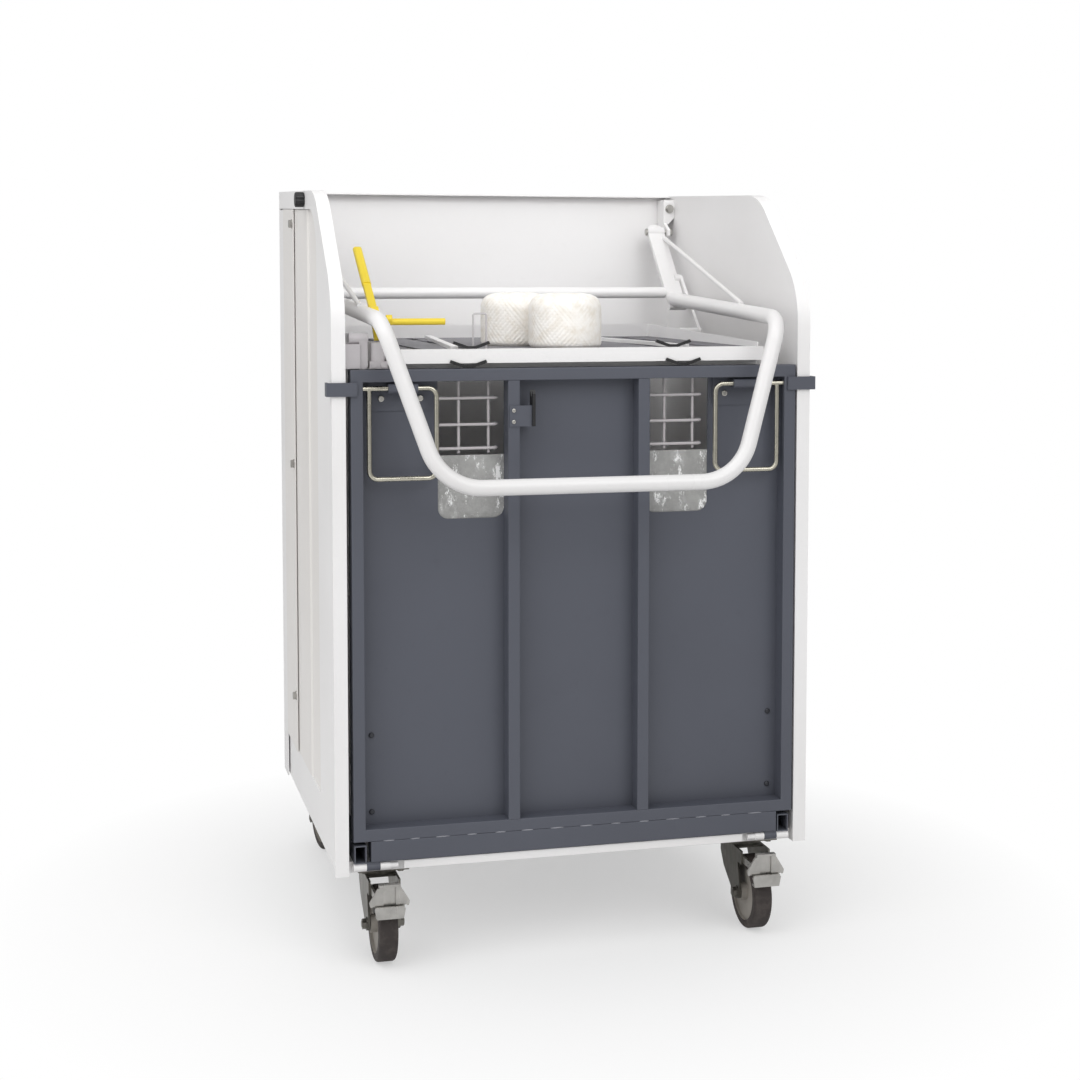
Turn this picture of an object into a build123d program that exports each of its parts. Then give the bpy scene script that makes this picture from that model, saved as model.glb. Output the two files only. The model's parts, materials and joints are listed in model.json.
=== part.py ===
from build123d import *
import math
import os

# A free-standing vertical baler for paper and film, with a hand-worked pressing bow.
# X runs to the right seen from the front, Y to the back, Z up.
# While modelling, the origin lies on the floor under the middle of the housing.
# The saved parts have it on the floor under the middle of the whole machine. All sizes are millimetres.

os.makedirs("parts", exist_ok=True)
# Housing
body_width = 813.0
body_depth = 706.0
body_bottom = 156.0
body_top_rear = 1289.0
roof_fall = 17.0 / 453.0
wall_depth = 22.5
sheet = 2.0
corner_fall = 189.0
corner_low = body_top_rear - corner_fall
corner_run = 191.0
corner_radius_top = 140.0
corner_radius_front = 120.0
half_width = body_width / 2
front_y = -body_depth / 2
rear_y = body_depth / 2
inner_x = half_width - wall_depth
wall_rear = rear_y - sheet

# Outside of each side wall
band_height = 32.0
column_width = 168.0
band_radius = 85.0
sill_height = 85.0
sill_top = body_bottom + sill_height
cover_bottom = sill_top
sill_inset = 4.5
rib_drop = 3.5
field_drop = 6.5
lap_depth = 10.0
cover_sheet = 1.5
rib_setback = 219.0
rib_rear = rear_y - rib_setback
rib_width = 172.0
rib_front = rib_rear - rib_width
rib_bevel = 6.0
seam_slot = 2.0
wrap_width = 62.0
cover_screw_levels = (body_bottom + 189.0, body_bottom + 624.0, body_top_rear - 67.0)

# Floor, rails and castor bearers
floor_rise = 19.0
floor_top = body_bottom + floor_rise
lip_height = 13.0
lip_end_gap = 91.0
lip_half_width = inner_x - lip_end_gap
floor_notch = 18.0
lip_setback = 4.0
rail_width = 20.0
rail_height = 30.0
rail_wall = 2.0
rail_side_gap = 9.0
rail_offset = inner_x - rail_side_gap - rail_width / 2
bearer_width = 112.0

# Door
door_play = 11.0
door_width = 2 * inner_x - door_play
door_shift = 2.5
beam_gap = 1.5
beam_bottom = floor_top + beam_gap
beam_height = 34.5
door_bottom = beam_bottom + beam_height
mouth_height = 312.0
door_top = body_top_rear - mouth_height
member_width = 20.0
member_depth = 30.0
member_back = front_y + member_depth
member_wall = 2.0
tube_corner = 1.6
side_bay_width = 267.5
post_offset = door_width / 2 - side_bay_width
beam_end_inset = 28.5
beam_half_width = door_width / 2 - beam_end_inset
edge_screw_inset = 34.5
edge_screw_x = door_width / 2 - edge_screw_inset
edge_screw_high = 168.0
edge_screw_low = 41.0
panel_sheet = 2.0
window_inner = 10.0
window_width = 111.0
window_height = 227.0
window_radius = 18.0

# Window guards and panes
guard_wire = 5.0
guard_levels = (door_top - 49.5, door_top - 93.0, door_top - 132.0)
guard_uprights = (36.5, 86.5)
guard_reach = 100.0
guard_return = 16.0
pane_margin = 8.0
pane_sheet = 4.0

# Door hinges
hinge_setback = 7.5
hinge_y = front_y + hinge_setback
hinge_drop = 7.0
hinge_z = floor_top - hinge_drop
knuckle_radius = 6.8
pin_radius = 3.0
run_gap = 0.05
side_gap = 0.3
knuckle_wall_gap = 8.0
knuckle_outer = inner_x - knuckle_wall_gap
knuckle_outer_length = 21.2
knuckle_door_length = 22.0
knuckle_inner_length = 16.5
pin_end_length = 13.0

# Wall hooks
hook_height = 22.0
hook_drop = 31.0
hook_centre = door_top - hook_drop
hook_sheet = 4.0
hook_lip_gap = 4.5
hook_lip_length = 20.0
hook_lap = 18.0
hook_inner = inner_x - hook_lap

# Bail handles
bail_wire = 8.0
bail_setback = 8.0
bail_y = front_y + bail_setback
bail_top_gap = 30.5
bail_z = door_top - bail_top_gap
bail_side_gap = 85.5
bail_centre = door_width / 2 - bail_side_gap
bail_width = 110.0
bail_drop = 146.0
bail_radius = 14.0
bail_plate_width = 106.0
bail_plate_drop = 68.0
bail_plate_bottom = door_top - bail_plate_drop
bail_plate_sheet = 2.0
bail_screw_drop = 48.0
bail_screw_z = door_top - bail_screw_drop
barrel_length = 48.0
barrel_radius = 8.0

# Twine cutter
cutter_drop = 95.0
cutter_bottom = door_top - cutter_drop
cutter_height = 34.0
cutter_sheet = 2.0
cutter_reach = 20.0
blade_sheet = 5.0
blade_tip = 25.0

# Pressing bow
pivot_setback = 56.0
pivot_y = rear_y - pivot_setback
pivot_drop = 74.0
pivot_z = body_top_rear - pivot_drop
pivot_radius = 5.0
bow_tube_radius = 13.0
bow_tube_wall = 2.6
bow_side_gap = 50.0
bow_arm_x = inner_x - bow_side_gap
bow_reach = 43.0
bow_elbow_y = front_y - bow_reach
bow_elbow_drop = 158.7
bow_elbow_z = pivot_z - bow_elbow_drop
bow_arm_rise = 0.0462
bow_elbow_radius = 48.0
bow_foot_inset = 87.5
bow_foot_x = bow_arm_x - bow_foot_inset
bow_foot_reach = 94.0
bow_foot_y = front_y - bow_foot_reach
bow_foot_drop = 262.8
bow_foot_z = bow_elbow_z - bow_foot_drop
bow_foot_radius = 90.0
bow_barrel_radius = 9.0
arm_bar_width = 34.0
arm_bar_sheet = 8.0
arm_bar_offset = 7.0
arm_bar_x = bow_arm_x + arm_bar_offset
arm_bar_run = 129.0
arm_end_y = pivot_y - arm_bar_run
arm_bar_fall = 133.0
arm_end_z = pivot_z - arm_bar_fall
cross_radius = 10.6
cross_run = 117.0
cross_y = pivot_y - cross_run
brace_radius = 4.0
brace_run = 191.0
brace_foot_y = bow_elbow_y + brace_run

# Pivot lugs on the rear corners
lug_sheet = 6.0
lug_ear_gap = 22.0
lug_ear_x = inner_x - lug_ear_gap
lug_depth = 41.0
lug_front_y = rear_y - lug_depth
lug_drop = 9.0
lug_top = body_top_rear - lug_drop
lug_screw_drop = 18.0
lug_screw_inset = 11.5
lug_screw_z = lug_top - lug_screw_drop
lug_screw_inset = 11.5
lug_screw_x = lug_ear_x + lug_screw_inset
lug_ear_drop = 44.0
lug_ear_z = lug_top - lug_ear_drop
lug_face_z = lug_ear_z + 8.0
lug_tail = 15.0
lug_bottom = pivot_z - lug_tail

# Press plate
press_side_gap = 58.0
press_half_width = inner_x - press_side_gap
press_setback = 8.0
press_front = front_y + press_setback
press_rear_gap = 58.0
press_rear = rear_y - press_rear_gap
press_door_gap = 8.5
press_beam_bottom = door_top + press_door_gap
press_beam_height = 22.5
press_beam_top = press_beam_bottom + press_beam_height
press_beam_depth = 25.0
flange_rise = 23.0
press_flange_top = press_beam_top + flange_rise
flange_rise_front = 7.0
press_flange_front = press_beam_top + flange_rise_front
press_sheet = 2.0
grate_drop = 2.0
grate_top = press_beam_top - grate_drop
pad_door_gap = 6.0
pad_front = member_back + pad_door_gap
pad_depth = 11.5
pad_bottom = press_beam_bottom - pad_depth
slot_width = 16.0
slot_count = 7

# Links between the bow and the press plate
link_pivot_run = 92.0
link_pivot_y = pivot_y - link_pivot_run
link_pivot_drop = 94.0
link_pivot_z = pivot_z - link_pivot_drop
link_foot_run = 202.0
link_foot_y = pivot_y - link_foot_run
link_foot_rise = 15.0
link_foot_z = grate_top + link_foot_rise
link_width = 16.0
link_sheet = 5.0
link_side_gap = 21.0
link_x = inner_x - link_side_gap
link_pin_radius = 4.0
link_foot_gap = 0.2

# Release lever on the left arm of the bow
lever_sheet = 13.0
lever_offset = 20.5
lever_x = -bow_arm_x + lever_offset
lever_pivot_y = brace_foot_y
lever_run = 172.0
lever_top_y = lever_pivot_y + lever_run
lever_rise = 113.7
lever_top_z = bow_elbow_z + lever_rise
lever_low_run = 39.0
lever_low_y = lever_pivot_y - lever_low_run
lever_low_drop = 33.3
lever_low_z = bow_elbow_z - lever_low_drop
lever_width = 7.0
lever_pin_radius = 4.0
grip_length = 118.0
grip_width = 11.0
grip_thick = 16.0
rod_radius = 5.5
rod_length = 128.0
lever_rod_run = 91.0
lever_rod_drop = 4.3
lever_rod_y = lever_pivot_y - lever_rod_run
lever_rod_z = bow_elbow_z - lever_rod_drop

# Latch keeper on the press plate and stop on the left wall
keeper_width = 28.5
keeper_inset = 11.0
keeper_inner = -press_half_width + keeper_inset
keeper_door_gap = 1.5
keeper_bottom = door_top + keeper_door_gap
keeper_foot_height = 11.5
keeper_step = keeper_bottom + keeper_foot_height
keeper_height = 41.5
keeper_top = keeper_bottom + keeper_height
stop_box_width = 25.0
stop_box_x = -inner_x + stop_box_width
stop_door_gap = 2.0
stop_box_bottom = door_top + stop_door_gap
stop_box_height = 38.0
stop_box_top = stop_box_bottom + stop_box_height
stop_depth = 40.0
stop_tube_radius = 9.5
stop_tube_length = 38.5
stop_tube_end = -inner_x + stop_tube_length

# Twine balls, guide and clips
ball_radius = 62.0
ball_height = 92.0
ball_shoulder = 34.0
ball_right_x = 8.0
ball_right_setback = 107.0
ball_right_y = press_front + ball_right_setback
ball_left_x = -50.0
ball_left_setback = 220.0
ball_left_y = press_front + ball_left_setback
guide_wire = 1.6
guide_bend = 4.0
guide_x = -155.0
guide_setback = 40.0
guide_y = press_front + guide_setback
guide_half_width = 11.0
guide_height = 59.0
guide_top = grate_top + guide_height
clip_half_width = 31.0
clip_rise = 8.0
clip_sheet = 4.5
clip_front_x = 183.0
clip_rear_x = 173.0

# Side knob
knob_setback = 383.0
knob_y = rear_y - knob_setback
knob_drop = 30.0
knob_z = body_top_rear - knob_drop
knob_radius = 13.5
knob_length = 16.0
knob_flutes = 8
knob_stud_radius = 4.0

# Castors
plate_length = 100.0
plate_width = 85.0
plate_sheet = 4.0
castor_side_inset = 83.5
castor_x = half_width - castor_side_inset
castor_end_inset = 77.0
castor_y = rear_y - castor_end_inset
castor_trail = 38.0
wheel_radius = 62.5
wheel_width = 32.0
tyre_depth = 14.0
axle_radius = 5.0
axle_nut = 8.0
fork_tail = 42.0
fork_inside = 46.0
fork_sheet = 3.5
fork_gap = 6.0
fork_top = body_bottom - plate_sheet - fork_gap
kingpin_radius = 8.0
castor_places = {
    "front_left": (-1, -1, 0.0),
    "front_right": (1, -1, 0.0),
    "rear_left": (-1, 1, 188.0),
    "rear_right": (1, 1, 180.0),
}
pedal_width = 50.0
pedal_bar_width = 34.0
pedal_sheet = 4.0
pedal_pivot_y = -50.0
pedal_pivot_drop = 22.0
pedal_pivot_z = fork_top - pedal_pivot_drop
pedal_pin_radius = 3.0
pedal_front = -114.0
pedal_drop = 31.0
pedal_bottom = pedal_pivot_z - pedal_drop

# Middle of the whole machine, seen from the middle of the housing
castor_swing = 101.1
middle_x = (hook_lip_gap + hook_sheet - side_gap - knob_length) / 2
middle_y = (bow_foot_y - bow_tube_radius + castor_y + castor_swing) / 2


def block(x0, x1, y0, y1, z0, z1):
    return Pos((x0 + x1) / 2, (y0 + y1) / 2, (z0 + z1) / 2) * Box(abs(x1 - x0), abs(y1 - y0), abs(z1 - z0))


def rod_x(x0, x1, y, z, radius):
    return Pos((x0 + x1) / 2, y, z) * Rot(0, 90, 0) * Cylinder(radius, abs(x1 - x0))


def rod_y(x, y0, y1, z, radius):
    return Pos(x, (y0 + y1) / 2, z) * Rot(90, 0, 0) * Cylinder(radius, abs(y1 - y0))


def rod_z(x, y, z0, z1, radius):
    return Pos(x, y, (z0 + z1) / 2) * Cylinder(radius, abs(z1 - z0))


def rod_between(a, b, radius):
    path = Edge.make_line(a, b)
    return sweep(Plane(origin=a, z_dir=path % 0) * Circle(radius), path=path)


def bent_wire(points, bend, radius):
    path = FilletPolyline(*points, radius=bend)
    return sweep(Plane(origin=path @ 0, z_dir=path % 0) * Circle(radius), path=path)


def mirrored(shape):
    return mirror(shape, Plane.YZ)


def side_plate(outline, x0, x1):
    # An outline given in Y and Z, as a plate between two X values.
    return Pos(min(x0, x1), 0, 0) * extrude(Plane.YZ * outline, abs(x1 - x0))


def front_plate(outline, y0, y1):
    # An outline given in X and Z, as a plate between two Y values.
    face = Plane.XZ * outline
    return Pos(0, max(y0, y1), 0) * extrude(face, abs(y1 - y0))


def save(name, shape):
    # Each part is saved about the middle of the whole machine instead of the middle of the housing.
    solids = [Pos(-middle_x, -middle_y, 0) * solid for solid in shape.solids()]
    placed = solids[0] if len(solids) == 1 else Compound(children=solids)
    placed.label = name
    export_step(placed, f"parts/{name}.step")


def roof_z(y):
    return body_top_rear - (rear_y - y) * roof_fall


# The side walls: folded boxes with a slanted, rounded top front corner
def wall_outline(inset=0.0, back=0.0):
    knee_y = front_y + corner_run
    pts = [
        (wall_rear - back, body_bottom),
        (wall_rear - back, roof_z(wall_rear)),
        (knee_y, roof_z(knee_y)),
        (front_y, corner_low),
        (front_y, body_bottom),
    ]
    face = make_face(Polyline(*pts, close=True))
    knee = face.vertices().sort_by_distance((knee_y, roof_z(knee_y), 0))[0]
    face = fillet(knee, corner_radius_top)
    brow = face.vertices().sort_by_distance((front_y, corner_low, 0))[0]
    face = fillet(brow, corner_radius_front)
    if inset:
        face = offset(face, amount=-inset)
    return face


def field_outline():
    # The part of the outer skin that is left open for the side cover.
    column_y = front_y + column_width
    far = wall_rear + 10
    pts = [
        (far, body_bottom - 10),
        (far, roof_z(far) - band_height),
        (column_y, roof_z(column_y) - band_height),
        (column_y, cover_bottom),
        (front_y + sheet, cover_bottom),
        (front_y + sheet, body_bottom - 10),
    ]
    face = make_face(Polyline(*pts, close=True))
    corner = face.vertices().sort_by_distance((column_y, roof_z(column_y) - band_height, 0))[0]
    return fillet(corner, band_radius)


def side_wall():
    shell = side_plate(wall_outline(), inner_x, half_width)
    core = side_plate(wall_outline(sheet), inner_x + sheet, half_width - sheet)
    opening = side_plate(field_outline(), half_width - sheet, half_width + 1)
    wall = shell - core - opening
    sill_x = half_width - sill_inset
    sill = block(sill_x - sheet, sill_x, front_y + 1, wall_rear - 1, body_bottom + 1, sill_top)
    ledge = block(sill_x - 1, half_width - 0.5, front_y + 1, wall_rear, body_bottom, body_bottom + sheet)
    return wall + sill - ledge


def knob_bore(x0, x1):
    return rod_x(x0, x1, knob_y, knob_z, knob_stud_radius + run_gap)


wall_right = side_wall()
wall_left = mirrored(wall_right) - knob_bore(-half_width - 5, -half_width + 8)
save("wall_right", wall_right)
save("wall_left", wall_left)


# The side covers: corrugated sheets set into the walls, with one raised rib
def side_cover():
    c = cover_sheet
    high = half_width
    rib_x = high - rib_drop
    field_x = high - field_drop
    start = rear_y - wrap_width
    end = front_y + column_width + seam_slot
    z0 = cover_bottom
    z1 = body_top_rear
    lap = rib_rear + lap_depth
    strip = block(high - c, high, rib_rear, start, z0, z1)
    web = block(rib_x - c, high, lap, lap + c, z0, z1)
    rib = block(rib_x - c, rib_x, rib_front, lap + c, z0, z1)
    foot = rib_front - rib_bevel
    pts = [
        (rib_x, rib_front),
        (field_x, foot),
        (field_x, end),
        (field_x - c, end),
        (field_x - c, foot + 0.6),
        (rib_x - c, rib_front + 0.6),
    ]
    field = Pos(0, 0, z0) * extrude(make_face(Polyline(*pts, close=True)), z1 - z0)
    sheet_body = strip + web + rib + field
    column_y = front_y + column_width + seam_slot
    fall_z = roof_z(column_y) - band_height - 1
    pts = [
        (start, cover_bottom - 5),
        (start, roof_z(start) - band_height - 1),
        (column_y, fall_z),
        (column_y, cover_bottom - 5),
    ]
    face = make_face(Polyline(*pts, close=True))
    corner = face.vertices().sort_by_distance((column_y, fall_z, 0))[0]
    face = fillet(corner, band_radius - seam_slot)
    return sheet_body & side_plate(face, half_width - 20, half_width + 5)


cover_right = side_cover()
save("side_cover_right", cover_right)
save("side_cover_left", mirrored(cover_right))


# The back panel: one folded sheet that wraps round both rear corners
def back_panel():
    plate_top = body_top_rear - 2
    plate = block(-half_width, half_width, wall_rear, rear_y, body_bottom, plate_top)
    wrap_top = roof_z(rear_y - wrap_width) - band_height - 2
    wrap = block(half_width - sheet, half_width, rear_y - wrap_width, rear_y, body_bottom, wrap_top)
    hem = block(-inner_x + 1, inner_x - 1, wall_rear - 20, wall_rear + 1, plate_top - sheet, plate_top)
    panel = plate + wrap + mirrored(wrap) + hem
    upright = [e for e in panel.edges().filter_by(Axis.Z) if abs(e.center().Y - rear_y) < 0.1]
    return fillet([e for e in upright if e.length > 500 and abs(abs(e.center().X) - half_width) < 0.1], 1.8)


save("back_panel", back_panel())


# The chamber floor, with a turned-down front lip between the hinges
def floor_pan():
    x = inner_x - 0.1
    plate = block(-x, x, front_y + floor_notch, wall_rear - 0.1, floor_top - sheet, floor_top)
    w = lip_half_width
    y0 = front_y + lip_setback
    tongue = block(-w, w, y0, front_y + floor_notch + 1, floor_top - sheet, floor_top)
    lip = block(-w, w, y0, y0 + sheet, floor_top - lip_height, floor_top)
    return plate + tongue + lip


save("floor_pan", floor_pan())


# Two open-ended tubes along the chamber floor
def base_rail():
    x0 = rail_offset - rail_width / 2
    x1 = rail_offset + rail_width / 2
    z1 = floor_top + rail_height
    tube = block(x0, x1, front_y + 1, wall_rear - 0.1, floor_top, z1)
    w = rail_wall
    bore = block(x0 + w, x1 - w, front_y, wall_rear - 3, floor_top + w, z1 - w)
    return tube - bore


rail_right = base_rail()
save("base_rail_right", rail_right)
save("base_rail_left", mirrored(rail_right))


# Cross channels under the floor that carry the castors
def castor_bearer(y):
    x = inner_x - 0.1
    z1 = floor_top - sheet
    z0 = body_bottom
    outer = block(-x, x, y - bearer_width / 2, y + bearer_width / 2, z0, z1)
    inner = block(-x - 1, x + 1, y - bearer_width / 2 + 3, y + bearer_width / 2 - 3, z0 + 3, z1 + 1)
    return outer - inner


save("castor_bearers", Compound(children=[castor_bearer(-castor_y), castor_bearer(castor_y)]))


# Lugs that carry the bow, one in each rear corner
def pivot_lug():
    ear_pts = [
        (wall_rear, lug_top),
        (lug_front_y, lug_top),
        (lug_front_y, lug_ear_z),
        (pivot_y - 15, pivot_z + 4),
        (pivot_y - 15, lug_bottom + 8),
        (pivot_y - 6, lug_bottom),
        (pivot_y + 15, lug_bottom),
        (wall_rear, lug_ear_z),
    ]
    ear = side_plate(make_face(Polyline(*ear_pts, close=True)), lug_ear_x, lug_ear_x + lug_sheet)
    face_pts = [
        (lug_ear_x, lug_top),
        (inner_x, lug_top),
        (inner_x, lug_face_z),
        (lug_ear_x + lug_sheet, lug_ear_z - 8),
        (lug_ear_x, lug_ear_z - 8),
    ]
    face = front_plate(make_face(Polyline(*face_pts, close=True)), lug_front_y - lug_sheet, lug_front_y)
    screw_hole = rod_y(lug_screw_x, lug_front_y - 22, lug_front_y + 18, lug_screw_z, 4.0)
    bore = rod_x(lug_ear_x - 2, lug_ear_x + lug_sheet + 2, pivot_y, pivot_z, pivot_radius)
    return ear + face - bore - screw_hole


lug_right = pivot_lug()
save("pivot_lug_right", lug_right)
save("pivot_lug_left", mirrored(lug_right))


def hex_head(radius, height):
    return extrude(RegularPolygon(radius, 6), height)


def pivot_pin():
    inner = arm_bar_x - arm_bar_width / 2 - side_gap
    shank = rod_x(inner - 1, lug_ear_x + lug_sheet + 3, pivot_y, pivot_z, pivot_radius)
    head = Pos(lug_ear_x + lug_sheet + 1, pivot_y, pivot_z) * Rot(0, 90, 0) * hex_head(8.5, 6)
    tail = rod_x(inner - 3, inner, pivot_y, pivot_z, 7.0)
    return shank + head + tail


pin_right = pivot_pin()
save("pivot_pins", Compound(children=[pin_right, mirrored(pin_right)]))


# Hexagon screws in the lugs and along the rear seam of each side
def hex_screw(length):
    washer = Pos(0, 0, -1.5) * Cylinder(8.5, 1.5, align=(Align.CENTER, Align.CENTER, Align.MIN))
    shank = Pos(0, 0, -length) * Cylinder(4.0, length, align=(Align.CENTER, Align.CENTER, Align.MIN))
    head = hex_head(7.2, 5.0)
    return washer + shank + head


def housing_screws():
    made = []
    for side in (-1, 1):
        spot = Pos(side * lug_screw_x, lug_front_y - lug_sheet - 1.5, lug_screw_z)
        made.append(spot * Rot(90, 0, 0) * hex_screw(7.6))
        for z in cover_screw_levels:
            seat = Pos(side * (half_width + 1.5), rib_rear + 14, z)
            made.append(seat * Rot(0, side * 90, 0) * hex_screw(1.5))
    return Compound(children=made)


save("housing_screws", housing_screws())


# The door: a mitred frame of tubes, two mid posts, a recessed panel and a lower beam
door_left = door_shift - door_width / 2
door_right = door_shift + door_width / 2


def mitred(outline, core):
    body = front_plate(make_face(Polyline(*outline, close=True)), front_y, member_back)
    front = [e for e in body.edges() if abs(e.center().Y - front_y) < 0.1 and e.length > 100]
    body = fillet(front, tube_corner)
    hollow = front_plate(
        make_face(Polyline(*core, close=True)), front_y + member_wall, member_back - member_wall
    )
    return body - hollow


def door_rail(z_out, z_in):
    m = member_width
    w = member_wall
    s = 1 if z_in > z_out else -1
    outline = [(door_left, z_out), (door_right, z_out), (door_right - m, z_in), (door_left + m, z_in)]
    core = [
        (door_left + 3 * w, z_out + s * w),
        (door_right - 3 * w, z_out + s * w),
        (door_right - m, z_in - s * w),
        (door_left + m, z_in - s * w),
    ]
    return mitred(outline, core)


def door_stile(x_out, x_in):
    m = member_width
    w = member_wall
    s = 1 if x_in > x_out else -1
    outline = [(x_out, door_bottom), (x_in, door_bottom + m), (x_in, door_top - m), (x_out, door_top)]
    core = [
        (x_out + s * w, door_bottom + 3 * w),
        (x_in - s * w, door_bottom + m),
        (x_in - s * w, door_top - m),
        (x_out + s * w, door_top - 3 * w),
    ]
    return mitred(outline, core)


def door_post(x):
    h = member_width / 2
    w = member_wall
    z0 = door_bottom + member_width
    z1 = door_top - member_width
    tube = block(x - h, x + h, front_y, member_back, z0, z1)
    tube = fillet([e for e in tube.edges().filter_by(Axis.Z) if e.center().Y < front_y + 1], tube_corner)
    return tube - block(x - h + w, x + h - w, front_y + w, member_back - w, z0 + w, z1 - w)


bail_pocket_depth = 6.0
save("door_top_rail", door_rail(door_top, door_top - member_width))
save("door_bottom_rail", door_rail(door_bottom, door_bottom + member_width))
stile_left = door_stile(door_left, door_left + member_width)
stile_right = door_stile(door_right, door_right - member_width)
pocket_left = rod_x(
    door_left + member_width - bail_pocket_depth, door_left + member_width + 1, bail_y, bail_z, bail_wire / 2 + run_gap
)
pocket_right = rod_x(
    door_right - member_width - 1, door_right - member_width + bail_pocket_depth, bail_y, bail_z, bail_wire / 2 + run_gap
)
save("door_stile_left", stile_left - pocket_left)
save("door_stile_right", stile_right - pocket_right)
post_left = door_post(door_shift - post_offset)
post_right = door_post(door_shift + post_offset)
save("door_post_left", post_left)
save("door_post_right", post_right)


def door_beam():
    x0 = door_shift - beam_half_width
    x1 = door_shift + beam_half_width
    w = member_wall
    tube = block(x0, x1, front_y, member_back, beam_bottom, door_bottom)
    tube = fillet(tube.edges().filter_by(Axis.X), tube_corner)
    return tube - block(x0 + w, x1 - w, front_y + w, member_back - w, beam_bottom + w, door_bottom - w)


save("door_beam", door_beam())


def window_outline(side, margin=0.0):
    inner = post_offset + window_inner - margin
    outer = post_offset + window_inner + window_width + margin
    x0 = door_shift + side * inner
    x1 = door_shift + side * outer
    top = door_top - member_width
    low = top - window_height - margin
    face = make_face(Polyline((x0, low), (x1, low), (x1, top + 5), (x0, top + 5), close=True))
    return fillet(face.vertices().filter_by_position(Axis.Y, low - 1, low + 1), window_radius)


def door_panel():
    y0 = member_back
    y1 = member_back + panel_sheet
    panel = block(door_left + 3, door_right - 3, y0, y1, door_bottom + 3, door_top - 3)
    for side in (-1, 1):
        panel -= front_plate(window_outline(side), y0 - 1, y1 + 1)
    return panel


save("door_panel", door_panel())


def window_guard(side):
    y = member_back + panel_sheet + guard_wire / 2
    r = guard_wire / 2
    inner = door_shift + side * (post_offset + window_inner)
    outer = door_shift + side * (post_offset + window_inner + window_width)
    left = min(inner, outer)
    top = door_top - member_width
    start = left - 7
    guard = None
    for z in guard_levels:
        points = [(start, y, z), (left + guard_reach, y, z), (left + guard_reach, y + guard_return, z)]
        wire = bent_wire(points, 6.0, r)
        guard = wire if guard is None else guard + wire
    for place in guard_uprights:
        x = left + place
        guard += rod_z(x, y + guard_wire - 0.6, guard_levels[-1] - 8, top + 9, r)
    return guard


save("window_guards", Compound(children=[window_guard(-1), window_guard(1)]))


def window_pane(side):
    y0 = member_back + panel_sheet
    face = window_outline(side, pane_margin)
    plate = front_plate(face, y0, y0 + pane_sheet)
    slots = block(-half_width, half_width, y0 - 1, y0 + pane_sheet + 1, guard_levels[-1] - 11, door_top)
    return plate - slots


save("window_panes", Compound(children=[window_pane(-1), window_pane(1)]))


# Strap hooks at both sides of the door, bent round the front edges of the walls
def wall_hook(side):
    edge = half_width + hook_lip_gap
    y1 = front_y
    y0 = front_y - hook_sheet
    z0 = hook_centre - hook_height / 2
    z1 = hook_centre + hook_height / 2
    strap = block(side * hook_inner, side * (edge + hook_sheet), y0, y1 - 0.0, z0, z1)
    lip = block(side * edge, side * (edge + hook_sheet), y0 + 1, y0 + hook_lip_length, z0, z1)
    relief = block(side * (inner_x - 3), side * edge, y1 - 0.6, y1 + 1, z0 - 1, z1 + 1)
    return strap + lip - relief


save("wall_hook_left", wall_hook(-1))
save("wall_hook_right", wall_hook(1))


# Bail handles: bent rods that turn in a barrel on a bracket plate
def bail(side):
    c = side * bail_centre + door_shift
    x0 = c - bail_width / 2
    x1 = c + bail_width / 2
    z0 = bail_z - bail_drop
    r = bail_wire / 2
    reach = bail_pocket_depth - 1
    far = door_left + member_width - reach if side < 0 else door_right - member_width + reach
    near = x1 if side < 0 else x0
    other = x0 if side < 0 else x1
    points = [
        (far, bail_y, bail_z),
        (near, bail_y, bail_z),
        (near, bail_y, z0),
        (other, bail_y, z0),
        (other, bail_y, bail_z - bail_wire),
    ]
    return bent_wire(points, bail_radius, r) + rod_z(other, bail_y, bail_z - bail_wire - 1, bail_z, r)


bail_left = bail(-1)
bail_right = bail(1)
save("bail_left", bail_left)
save("bail_right", bail_right)


def bail_bracket(side):
    c = side * bail_centre + door_shift
    x0 = c - bail_plate_width / 2
    x1 = c + bail_plate_width / 2
    y1 = member_back
    y0 = y1 - bail_plate_sheet
    top = door_top - member_width - 0.5
    plate = block(x0, x1, y0, y1, bail_plate_bottom, top)
    b = barrel_length / 2
    web = block(c - b, c + b, bail_y, y0 + 1, bail_z - 6, bail_z + 6)
    barrel = rod_x(c - b, c + b, bail_y, bail_z, barrel_radius)
    nose = block(c - b, c + b, bail_y - 20, bail_y - barrel_radius + 1.2, bail_z - 20, bail_z + 20)
    bore = rod_x(c - b - 1, c + b + 1, bail_y, bail_z, bail_wire / 2 + run_gap)
    return plate + (web + barrel - nose) - bore


save("bail_bracket_left", bail_bracket(-1))
save("bail_bracket_right", bail_bracket(1))


# The twine cutter on the left mid post
cutter_x = door_shift - post_offset


def twine_cutter():
    y1 = front_y
    y0 = front_y - cutter_sheet
    z1 = cutter_bottom + cutter_height
    plate = block(cutter_x - 8, cutter_x + 9.5 + cutter_reach, y0, y1, cutter_bottom, z1)
    end_x = cutter_x + 9.5 + cutter_reach
    cheek = block(end_x - cutter_sheet, end_x, y0, y1 + 12, cutter_bottom, z1)
    return plate + cheek


save("twine_cutter", twine_cutter())


def cutter_blade():
    x0 = cutter_x + 9.5 + cutter_reach
    z1 = cutter_bottom + cutter_height
    y0 = front_y - 6
    y1 = front_y + 14
    middle = (y0 + y1) / 2
    outline = [
        (y0, cutter_bottom),
        (y1, cutter_bottom),
        (y1, z1 + blade_tip - 6),
        (y1 - 3, z1 + blade_tip),
        (middle, z1 + 4),
        (y0 + 3, z1 + blade_tip),
        (y0, z1 + blade_tip - 6),
    ]
    return side_plate(make_face(Polyline(*outline, close=True)), x0, x0 + blade_sheet)


save("cutter_blade", cutter_blade())


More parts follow.
